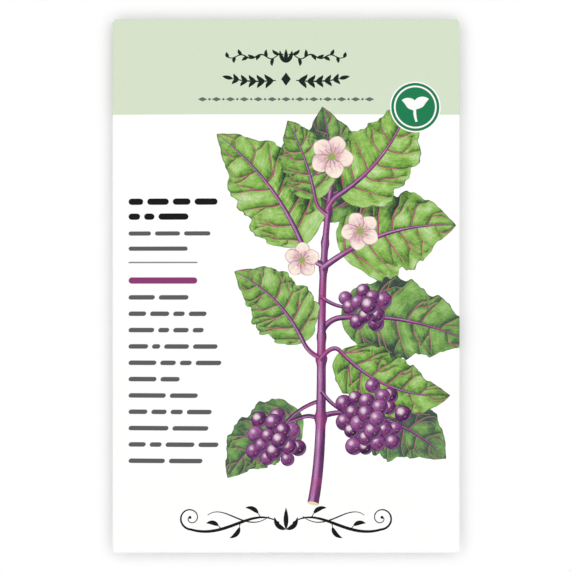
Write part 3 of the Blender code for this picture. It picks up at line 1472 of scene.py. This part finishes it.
@dataclass
class BackPrint:
    """The back panel's print: lines of bars, a row of sowing signs and a grid of twelve boxes."""

    middle: float
    half: float = 36.0
    gutter: float = 2.5
    filled: tuple[int, ...] = (2, 3, 4, 7, 8)

    def __post_init__(self) -> None:
        """Finds the print's two sides."""
        self.left, self.right = self.middle - self.half, self.middle + self.half

    def section(self, place: tuple[float, float, float], heading: Point, draw_number: int) -> list[Patch]:
        """A heading of bold bars over six ragged lines of thin ones.

        Args:
            place: The lines' left, right and top.
            heading: How long the heading is, and the height of its middle.
            draw_number: The number that sets its draws.

        Returns:
            The patches.
        """
        left, right, top = place
        length, middle = heading
        draw = random.Random(draw_number)
        ends = tuple(right - draw.uniform(0.0, 5.0) for _ in range(6))
        bold = BarLines(left, (left + length,), middle, 3.0, 1.6, PLUM_INK, longest=14.0, draw_number=4)
        lines = BarLines(left, ends, top, 3.0, 1.0, GREY_INK, draw_number=draw_number)
        return bold.patches() + lines.patches()

    def sun(self, x: float, y: float) -> list[Patch]:
        """A sun: a disc with eight rays.

        Args:
            x: The place of its middle across the sheet.
            y: The place of its middle up the sheet.

        Returns:
            The patches.
        """
        patches: list[Patch] = [disc((x, y), 1.5, 28, ink=LEAF_INK)]
        for ray in range(8):
            inner, outer = (onward((x, y), ray * math.pi / 4, reach) for reach in (2.0, 3.0))
            patches.append(stroke(Rail.bent(inner, outer, steps=4), 0.17, 0.0, LEAF_INK))
        return patches

    def drop(self, x: float, y: float) -> list[Patch]:
        """A drop of water.

        Args:
            x: The place of its middle across the sheet.
            y: The place of its middle up the sheet.

        Returns:
            The patches.
        """
        rail = Rail.bent((x, y + 3.0), (x, y - 2.6), steps=30)
        half = 1.75 * np.sin(np.pi * rail.shares**1.6) ** 0.75 * rail.shares**0.55 + 0.02
        return [Ribbon.along(rail, half, ink=LEAF_INK)]

    def depth(self, x: float, y: float) -> list[Patch]:
        """A seed under the soil's line, with a shoot.

        Args:
            x: The place of its middle across the sheet.
            y: The place of its middle up the sheet.

        Returns:
            The patches.
        """
        shoot = Rail.bent((x, y - 1.4), (x + 0.5, y + 0.6), (x, y + 1.9), steps=10)
        return [
            block(x - 3.0, x + 3.0, y - 0.12, y + 0.12, LEAF_INK),
            stroke(shoot, 0.16, 0.0, LEAF_INK),
            disc((x, y - 1.9), 0.75, 20, ink=LEAF_INK),
            *(leaflet((x, y + 1.6), math.radians(angle), 1.9, 0.5, LEAF_INK, 0.1) for angle in (35, 145)),
        ]

    def table(self, top: float) -> list[Patch]:
        """Three signs in a row, each over two short lines, between thin rules.

        Args:
            top: The height of the upper rule.

        Returns:
            The patches.
        """
        patches = [block(self.left, self.right, top - 0.1, top + 0.1, RULE_INK)]
        pitch = 2 * self.half / 3
        for number, sign in enumerate((self.sun, self.drop, self.depth)):
            x = self.left + pitch * (number + 0.5)
            ends, draw_number = (x + 8.0, x + 5.0), number + 20
            lines = BarLines(x - 8.0, ends, top - 10.6, 2.8, 1.0, GREY_INK, draw_number=draw_number)
            patches += sign(x, top - 5.0) + lines.patches()
        return [*patches, block(self.left, self.right, top - 16.6, top - 16.4, RULE_INK)]

    def calendar(self, top: float) -> list[Patch]:
        """Twelve boxes in a row, some filled.

        Args:
            top: The height of their upper side.

        Returns:
            The patches.
        """
        width, height, line = 2 * self.half / 12, 5.0, 0.13
        patches: list[Patch] = []
        for month in range(12):
            start = self.left + month * width
            patches.append(block(start, start + width, top - height, top, RULE_INK))
            fill = BAND_GREEN if month in self.filled else BARE
            inner = (start + line, start + width - line, top - height + line, top - line)
            patches.append(block(*inner, fill))
        return patches

    def patches(self) -> list[Patch]:
        """The whole back.

        Returns:
            The patches.
        """
        foot = BarLines(self.left, (self.left + 30.0,), -44.6, 3.0, 1.0, GREY_INK, draw_number=8)
        return [
            *self.section((self.left, self.right, 31.0), (24.0, 35.5), 31),
            *self.table(11.0),
            *self.section((self.left, self.middle - self.gutter, -13.5), (16.0, -9.5), 33),
            *self.section((self.middle + self.gutter, self.right, -13.5), (15.5, -9.5), 35),
            *self.calendar(-36.0),
            *foot.patches(),
        ]


# The sheet and its folds


class Side(Enum):
    """The front panel's four edges, as the way out over each, anticlockwise."""

    RIGHT = (1, 0)
    TOP = (0, 1)
    LEFT = (-1, 0)
    BOTTOM = (0, -1)


@dataclass
class Fold:
    """A fold along an edge of the front panel, and the flap beyond it.

    The edge runs anticlockwise round the front, from low to high.
    """

    side: Side
    edge: float
    low: float
    high: float
    radius: float
    depth: float
    slant: float

    def __post_init__(self) -> None:
        """Finds the way out over the edge, the way along it, and how much of the sheet the fold takes up."""
        self.out = np.array(self.side.value, float)
        self.along = np.array([-self.out[1], self.out[0]])
        self.arc = math.pi * self.radius

    def beyond(self, places: Array) -> Array:
        """How far places of the sheet are beyond the fold's start."""
        return places @ self.out - self.edge

    def place(self, away: float, along: float) -> Point:
        """A place of the sheet, by how far it is beyond the edge and along it."""
        return self.out * (self.edge + away) + self.along * along

    def corners(self) -> list[Point]:
        """The flap's corners, anticlockwise.

        Returns:
            The corners.
        """
        give = self.slant * self.depth
        rows = ((0.0, 0.0), (self.arc, 0.0), (self.arc + self.depth, give))
        near = [self.place(away, self.low + inward) for away, inward in rows]
        return near + [self.place(away, self.high - inward) for away, inward in reversed(rows)]

    def creases(self, steps: int) -> list[tuple[Point, Point]]:
        """Lines along the fold, close enough together to bend it round."""
        aways = [self.arc * step / steps for step in range(steps + 1)]
        return [(self.place(away, self.low), self.place(away, self.high)) for away in aways]


def sides_of(outline: Array) -> Iterable[tuple[Array, Array]]:
    """The start and the end of each side of an outline."""
    return zip(outline, np.roll(outline, -1, axis=0))


def within(outline: Array, places: Array) -> Array:
    """Which places are inside an outline.

    Args:
        outline: The outline's corners, in order.
        places: The places, one to a row.

    Returns:
        True for each place inside.
    """
    inside = np.zeros(len(places), bool)
    rows = np.flatnonzero(((places >= outline.min(0)) & (places <= outline.max(0))).all(1))
    x, y = places[rows].T
    crossings = np.zeros(len(rows), int)
    for start, end in sides_of(outline):
        spans = (start[1] > y) != (end[1] > y)
        if spans.any():
            meets = start[0] + (y[spans] - start[1]) * (end[0] - start[0]) / (end[1] - start[1])
            crossings[spans] += x[spans] < meets
    inside[rows] = crossings % 2 == 1
    return inside


def spaced(outline: Array, step: float) -> Array:
    """Adds corners to an outline's long sides, so that it can follow a curved sheet.

    Args:
        outline: The outline's corners, in order.
        step: The longest side to leave.

    Returns:
        The new corners, in order.
    """
    places = []
    for start, end in sides_of(outline):
        count = max(1, math.ceil(np.linalg.norm(end - start) / step))
        places.append(start + (end - start) * np.arange(count)[:, None] / count)
    return np.concatenate(places)


def set_out(name: str, data: bpy.types.ID) -> bpy.types.Object:
    """Puts a new object into the scene.

    Args:
        name: Its name.
        data: Its mesh, light or camera.

    Returns:
        The object.
    """
    made = bpy.data.objects.new(name, data)
    bpy.context.scene.collection.objects.link(made)
    return made


@dataclass
class Sheet:
    """The flat sheet in triangles, and its mesh: the printed side, then the bare side, then the cut edge."""

    flat: Array
    triangles: Array
    map_margin: float = 0.004
    bare_size: float = 0.09
    rim_size: float = 0.008

    def __post_init__(self) -> None:
        """Finds the sides that only one triangle has."""
        sides = np.concatenate([self.triangles[:, pair] for pair in ([0, 1], [1, 2], [2, 0])]).tolist()
        keys = {tuple(side) for side in sides}
        self.rims = np.array([side for side in sides if (side[1], side[0]) not in keys])
        self.mesh = bpy.data.meshes.new("packet")

    def thicken(self, points: Array, facing: Array, paper: float) -> None:
        """Makes the mesh.

        Args:
            points: Where each corner of the folded sheet is, in the middle of the paper.
            facing: The way that the printed side faces there.
            paper: The paper's thickness.
        """
        half, count = paper / 2, len(self.flat)
        solid = np.concatenate([points + facing * half, points - facing * half]) * MM
        first, last = self.rims.T
        edge = np.column_stack([last, first, first + count, last + count])
        faces = [*self.triangles.tolist(), *(self.triangles[:, ::-1] + count).tolist(), *edge.tolist()]
        self.mesh.from_pydata(solid.tolist(), [], faces)

    def tell(self, name: str, kind: str, domain: str, values: Array) -> None:
        """Writes an attribute that the materials read.

        Args:
            name: Its name.
            kind: Its type.
            domain: What has one: each point, or each face's corner.
            values: The values, one to a row.
        """
        key = {"FLOAT": "value", "FLOAT_COLOR": "color"}.get(kind, "vector")
        layer = self.mesh.attributes.new(name, kind, domain)
        layer.data.foreach_set(key, values.astype(np.float32).ravel())

    def tell_corners(self, name: str, kind: str, printed: Array, plain: float) -> None:
        """Writes an attribute that only the printed side's corners have.

        Args:
            name: Its name.
            kind: Its type.
            printed: The values of each triangle's three corners.
            plain: The value everywhere else.
        """
        printed = printed.reshape(-1, printed.shape[-1])
        rest = np.full((len(printed) + 4 * len(self.rims), printed.shape[-1]), plain)
        self.tell(name, kind, "CORNER", np.concatenate([printed, rest]))

    def lay_out(self) -> None:
        """Gives the mesh a map: the flat printed side at full size, and the bare side small in a corner."""
        flat, small, whole = self.flat, self.bare_size, 1 - 2 * self.map_margin
        low, span = flat.min(0), (flat.max(0) - flat.min(0)).max()
        printed = self.map_margin + (flat - low) / span * whole
        tall = whole * (flat[:, 1].max() - low[1]) / span
        bare = (flat - low) / span * small + [self.map_margin, tall - small]
        square = np.array([(0, 0), (1, 0), (1, 1), (0, 1)]) * self.rim_size + [2 * small, tall - small]
        sides = [printed[self.triangles], bare[self.triangles[:, ::-1]], np.tile(square, (len(self.rims), 1))]
        corners = np.concatenate([side.reshape(-1, 2) for side in sides])
        self.mesh.uv_layers.new(name="OFBake").uv.foreach_set("vector", corners.astype(np.float32).ravel())

    def smooth(self, facing: Array) -> None:
        """Gives both sides of the paper the sheet's own curvature, and leaves its cut edge sharp.

        Args:
            facing: The way that the printed side faces at each corner.
        """
        self.mesh.shade_smooth()
        self.mesh.set_sharp_from_angle(angle=math.radians(40))
        normals = np.zeros((len(self.mesh.loops), 3))
        count = 3 * len(self.triangles)
        normals[:count] = facing[self.triangles].reshape(-1, 3)
        normals[count : 2 * count] = -facing[self.triangles[:, ::-1]].reshape(-1, 3)
        self.mesh.normals_split_custom_set(normals.tolist())


@dataclass
class Packet:
    """The paper packet: one printed sheet, cut, folded and stuck down."""

    paper: float = 0.16
    glue_gap: float = 0.14
    bulge: float = 2.7
    bulge_middle: float = 0.85
    bulge_lean: float = 0.15
    bulge_flatness: int = 4
    bottom_flap: float = 13.0
    top_flap: float = 19.0
    seam_flap: float = 11.0
    bottom_slant: float = 0.30
    top_slant: float = 0.22
    seam_slant: float = 0.55
    corner_notch: float = 0.12
    free_edge_inset: float = 0.5
    band_bottom: float = 40.7
    grid: float = 1.45
    fold_steps: int = 10
    wear_width: float = 0.10
    corner_wear_width: float = 2.0
    ripple: float = 0.05
    back_shift: float = 5.0
    stock: Paper = field(default_factory=Paper)

    def __post_init__(self) -> None:
        """Takes the outline from the frame, and works the folds out from the layers' heights."""
        low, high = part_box("packet_paper")
        half_width = (high.x - low.x) / 2 / MM
        half_height = (high.y - low.y) / 2 / MM
        layer = self.paper + self.glue_gap
        margin = self.paper / 2
        self.front_z = margin + 3 * layer
        left_radius, right_radius, end_radius = layer, layer / 2, 1.5 * layer
        self.left = -(half_width - left_radius - margin)
        self.right = half_width - right_radius - margin
        self.end = half_height - end_radius - margin
        back = self.right - self.left - self.free_edge_inset
        tall = self.end - self.corner_notch
        start, stop = self.left + self.corner_notch, self.right - self.corner_notch
        self.folds = (
            Fold(Side.RIGHT, self.right, -tall, tall, right_radius, self.seam_flap, self.seam_slant),
            Fold(Side.TOP, self.end, -stop, -start, end_radius, self.top_flap, self.top_slant),
            Fold(Side.LEFT, -self.left, -tall, tall, left_radius, back, 0.0),
            Fold(Side.BOTTOM, self.end, start, stop, end_radius, self.bottom_flap, self.bottom_slant),
        )
        self.middle = np.array([(self.left + self.right) / 2, 0.0])
        self.half = np.array([(self.right - self.left) / 2, self.end])

    def outline(self) -> Array:
        """The cut sheet's outline, anticlockwise.

        Returns:
            The outline's corners, one to a row.
        """
        left, right, end = self.left, self.right, self.end
        places: list[Point] = []
        for corner, fold in zip(((right, -end), (right, end), (left, end), (left, -end)), self.folds):
            places += [corner, *fold.corners()]
        return np.array(places)

    def print_layers(self) -> list[Patch]:
        """The whole print, the undermost patch first.

        Returns:
            The patches.
        """
        outline = self.outline()
        low, high = outline.min(0) - 1, outline.max(0) + 1
        back = self.folds[2]
        back_print = BackPrint(self.left - back.arc - back.depth / 2)
        layers: list[Patch] = [block(low[0], high[0], self.band_bottom, high[1], BAND_GREEN)]
        for part in (BandOrnaments(), BarColumn(), BerrySprig(), Roundel(), Flourish(), back_print):
            patches = part.patches()
            log.info("%s: %d patches", type(part).__name__, len(patches))
            layers += patches
        return layers

    def cut(self, layers: list[Patch]) -> Sheet:
        """Splits the flat sheet into triangles that follow its outline, its creases and every patch.

        Args:
            layers: The print.

        Returns:
            The sheet.
        """
        outline = self.outline()
        courses = [(outline, True)]
        courses += [(crease, False) for fold in self.folds for crease in fold.creases(self.fold_steps)]
        courses += [(spaced(patch.outline, self.grid), True) for patch in layers]
        places: list[Point] = []
        lines: list[tuple[int, int]] = []
        for course, closed in courses:
            first, last = len(places), len(places) + len(course) - 1
            places.extend(course)
            lines.extend((number, number + 1) for number in range(first, last))
            if closed:
                lines.append((last, first))
        row_step = self.grid * math.sqrt(3) / 2
        low, high = outline.min(0), outline.max(0)
        for row in range(int((high[1] - low[1]) / row_step)):
            columns = np.arange(low[0] + self.grid * (0.25 + 0.5 * (row % 2)), high[0], self.grid)
            places.extend((x, low[1] + row * row_step) for x in columns)
        found = delaunay_2d_cdt([Vector((float(x), float(y))) for x, y in places], lines, [], 0, 1e-4, False)
        corners, triangles = np.array([tuple(place) for place in found[0]]), np.array(found[2])
        kept = triangles[within(outline, corners[triangles].mean(1))]
        used, numbers = np.unique(kept, return_inverse=True)
        return Sheet(corners[used], numbers.reshape(-1, 3))

    def front_height(self, places: Array) -> Array:
        """The height of the front panel's middle layer.

        Args:
            places: Places of it, one to a row.

        Returns:
            The height at each.
        """
        middle, half = (self.left + self.right) / 2, (self.right - self.left) / 2
        x, y = places.T
        across = np.clip((x - middle) / half, -1, 1)
        up = np.clip(y / self.end, -1, 1)
        power = self.bulge_flatness
        level = (1 - np.abs(across) ** power) ** 2 * (1 - np.abs(up) ** power) ** 2
        fullness = self.bulge_middle - self.bulge_lean * up
        ripples = np.sin(0.17 * x + 0.05 * y + 1.0) * np.sin(0.11 * y - 0.06 * x + 0.4)
        return self.front_z + (self.bulge * fullness + self.ripple * ripples) * level

    def fold_up(self, places: Array) -> tuple[Array, Array]:
        """Folds the flat sheet.

        Args:
            places: Places of the sheet, one to a row.

        Returns:
            Where each ends up, in the middle of the paper, and the way that the printed side faces there.
        """
        reach = 0.01
        height = self.front_height(places)
        points = np.column_stack([places, height])
        slopes = [(self.front_height(places + step) - height) / reach for step in np.eye(2) * reach]
        facing = np.column_stack([-slopes[0], -slopes[1], np.ones(len(places))])
        for fold in self.folds:
            beyond = fold.beyond(places)
            rows = beyond > 0
            away = beyond[rows]
            turn = np.minimum(away / fold.radius, np.pi)
            past = np.maximum(away - fold.arc, 0.0)
            shift = fold.radius * np.sin(turn) - past - away
            points[rows, :2] = places[rows] + fold.out * shift[:, None]
            points[rows, 2] = self.front_z - fold.radius * (1 - np.cos(turn))
            facing[rows, :2] = fold.out * np.sin(turn)[:, None]
            facing[rows, 2] = np.cos(turn)
        return points, facing / np.linalg.norm(facing, axis=1)[:, None]

    def wear(self, places: Array) -> Array:
        """How rubbed the sheet is: most along its folds, and more at the packet's corners.

        Args:
            places: Places of the sheet, one to a row.

        Returns:
            The wear at each.
        """
        rubbed = np.zeros(len(places))
        for fold in self.folds:
            off = (fold.beyond(places) - fold.arc / 2) / (self.wear_width + fold.arc / 2)
            rubbed = np.maximum(rubbed, np.exp(-(off**2)))
        to_corner = np.linalg.norm(np.abs(places - self.middle) - self.half, axis=1)
        return rubbed * (0.66 + 0.5 * np.exp(-((to_corner / self.corner_wear_width) ** 2)))

    def mark(self, sheet: Sheet, layers: list[Patch]) -> None:
        """Gives the sheet its materials, and what they read at each corner.

        Args:
            sheet: The sheet.
            layers: The print.
        """
        triangles, flat = sheet.triangles, sheet.flat
        count = len(triangles)
        middles = flat[triangles].mean(1)
        owner = np.full(count, -1)
        for number, patch in enumerate(layers):
            owner[within(patch.outline, middles)] = number
        slots = np.full(2 * count + len(sheet.rims), Paint.BARE_SIDE.value, np.int32)
        slots[:count] = Paint.FLAT.value
        place, swell, tone = (np.zeros((count, 3, 3)) for _ in range(3))
        ink = np.ones((count, 3, 4))
        ink[..., :3] = BARE
        for number, patch in enumerate(layers):
            rows = np.flatnonzero(owner == number)
            if len(rows):
                used, numbers = np.unique(triangles[rows], return_inverse=True)
                numbers = numbers.reshape(-1, 3)
                slots[rows] = patch.paint.value
                place[rows] = patch.place(flat[used])[numbers]
                swell[rows] = patch.swell(flat[used])[numbers]
                tone[rows] = patch.tone
                ink[rows, :, :3] = patch.ink
        sheet.mesh.polygons.foreach_set("material_index", slots)
        for name, printed in (("place", place), ("swell", swell), ("tone", tone)):
            sheet.tell_corners(name, "FLOAT_VECTOR", printed, 0.0)
        sheet.tell_corners("ink", "FLOAT_COLOR", ink, 1.0)
        sides = np.repeat([0.0, self.back_shift], len(flat))
        sheet.tell("sheet", "FLOAT_VECTOR", "POINT", np.column_stack([np.tile(flat, (2, 1)), sides]))
        rubbed = np.concatenate([self.wear(flat), np.zeros(len(flat))])
        sheet.tell("wear", "FLOAT", "POINT", rubbed)
        sheet.lay_out()
        for finish in (FlatPrint, LeafPaint, VeinPaint, StemPaint, BerryPaint, PetalPaint, BareSide):
            sheet.mesh.materials.append(finish(self.stock).make())

    def build(self) -> bpy.types.Object:
        """The folded packet, with its print and its finish.

        Returns:
            The packet's object.
        """
        layers = self.print_layers()
        sheet = self.cut(layers)
        log.info("packet sheet: %d corners, %d triangles a side", len(sheet.flat), len(sheet.triangles))
        points, facing = self.fold_up(sheet.flat)
        sheet.thicken(points, facing, self.paper)
        self.mark(sheet, layers)
        sheet.smooth(facing)
        return set_out("packet", sheet.mesh)


@dataclass
class Seeds:
    """The loose seeds: rounded grains in place of the faceted ones, hidden in the closed packet."""

    voxel: float = 0.16
    smoothing: int = 6

    def build(self) -> bpy.types.Object:
        """The rounded seeds.

        Returns:
            The seeds' object.
        """
        seeds = set_out("rounded_seeds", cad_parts["seeds"].data.copy())
        rebuild = seeds.modifiers.new("Rebuild", "REMESH")
        rebuild.mode = "VOXEL"
        rebuild.voxel_size = self.voxel * MM
        seeds.modifiers.new("Round", "SMOOTH").iterations = self.smoothing
        bpy.context.view_layer.update()
        made = bpy.data.meshes.new_from_object(seeds.evaluated_get(bpy.context.evaluated_depsgraph_get()))
        seeds.modifiers.clear()
        seeds.data = made
        made.name = "rounded_seeds"
        made.materials.clear()
        made.materials.append(SeedCoat().make())
        made.shade_smooth()
        return seeds


# The studio


@dataclass
class Studio:
    """A pale floor, soft light from all round, and a camera straight over the front."""

    seen_width: float = 136.2
    lens: float = 150.0
    sensor: float = 36.0
    clip: tuple[float, float] = (0.01, 20.0)
    sky: float = 1.59
    dim_share: float = 0.3
    ring_angles: tuple[float, float, float, float] = (16.0, 26.0, 45.0, 57.0)
    softbox_power: float = 1.05
    softbox_size: float = 900.0
    softbox_place: tuple[float, float, float] = (180.0, 380.0, 1130.0)
    floor_size: float = 4000.0
    floor_drop: float = 1.1
    floor_grain: float = 900.0

    def build(self) -> None:
        """Sets up the floor, the light and the camera."""
        scene = bpy.context.scene
        scene.view_settings.view_transform = "Standard"
        scene.view_settings.look = "None"
        self.add_floor()
        self.add_light()
        data = bpy.data.cameras.new("camera")
        data.lens = self.lens
        data.sensor_width = self.sensor
        data.clip_start, data.clip_end = self.clip
        scene.camera = set_out("camera", data)
        scene.camera.location = (0.0, 0.0, self.seen_width * self.lens / self.sensor * MM)

    def add_floor(self) -> None:
        """The floor: a wide pale plane just under the packet."""
        half = self.floor_size / 2 * MM
        height = -self.floor_drop * MM
        mesh = bpy.data.meshes.new("floor")
        corners = [(-half, -half, height), (half, -half, height), (half, half, height), (-half, half, height)]
        mesh.from_pydata(corners, [], [(0, 1, 2, 3)])
        graph = Graph.material("floor")
        grain = graph.noise(graph.node("ShaderNodeTexCoord").outputs["Object"], self.floor_grain)
        colour = graph.mix(grain * 0.02, srgb(250, 250, 250), srgb(240, 240, 240))
        mesh.materials.append(graph.finish(colour, 0.9, grain, 0.00001, 0.1))
        floor = set_out("floor", mesh)
        floor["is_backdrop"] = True

    def add_light(self) -> None:
        """A ring of soft light some way up the sky, all round, and a large soft light nearly overhead."""
        graph = Graph(bpy.data.worlds.new("sky"))
        _, _, height = graph.parts(graph.node("ShaderNodeTexCoord").outputs["Generated"])
        below, low, high, above = (math.sin(math.radians(angle)) for angle in self.ring_angles)
        bright, dim = (1.0, 1.0, 1.0), (self.dim_share,) * 3
        ring = graph.mix(graph.fade(height, below, low), dim, bright)
        glow = graph.mix(graph.fade(height, high, above), ring, dim)
        sky = graph.node("ShaderNodeBackground", None, {"Color": glow, "Strength": self.sky})
        graph.node("ShaderNodeOutputWorld", None, {"Surface": sky.outputs["Background"]})
        bpy.context.scene.world = graph.owner
        data = bpy.data.lights.new("softbox", "AREA")
        data.size = self.softbox_size * MM
        data.energy = self.softbox_power
        softbox = set_out("softbox", data)
        softbox.location = Vector(self.softbox_place) * MM
        softbox.rotation_euler = (-softbox.location).to_track_quat("-Z", "Y").to_euler()


def main() -> None:
    """Builds the studio, the packet and the seeds."""
    logging.basicConfig(level=logging.INFO, format="%(message)s")
    cad_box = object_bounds()
    Studio().build()
    packet = Packet().build()
    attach(packet, "root")
    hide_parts("packet_paper")
    log.info("packet: %d faces", len(packet.data.polygons))
    seeds = Seeds().build()
    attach(seeds, "root")
    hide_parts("seeds")
    log.info("seeds: %d faces", len(seeds.data.polygons))
    sizes = {"cad": cad_box, "visual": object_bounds()}
    plain = {name: [list(corner) for corner in box] for name, box in sizes.items()}


if __name__ == "__main__":
    main()
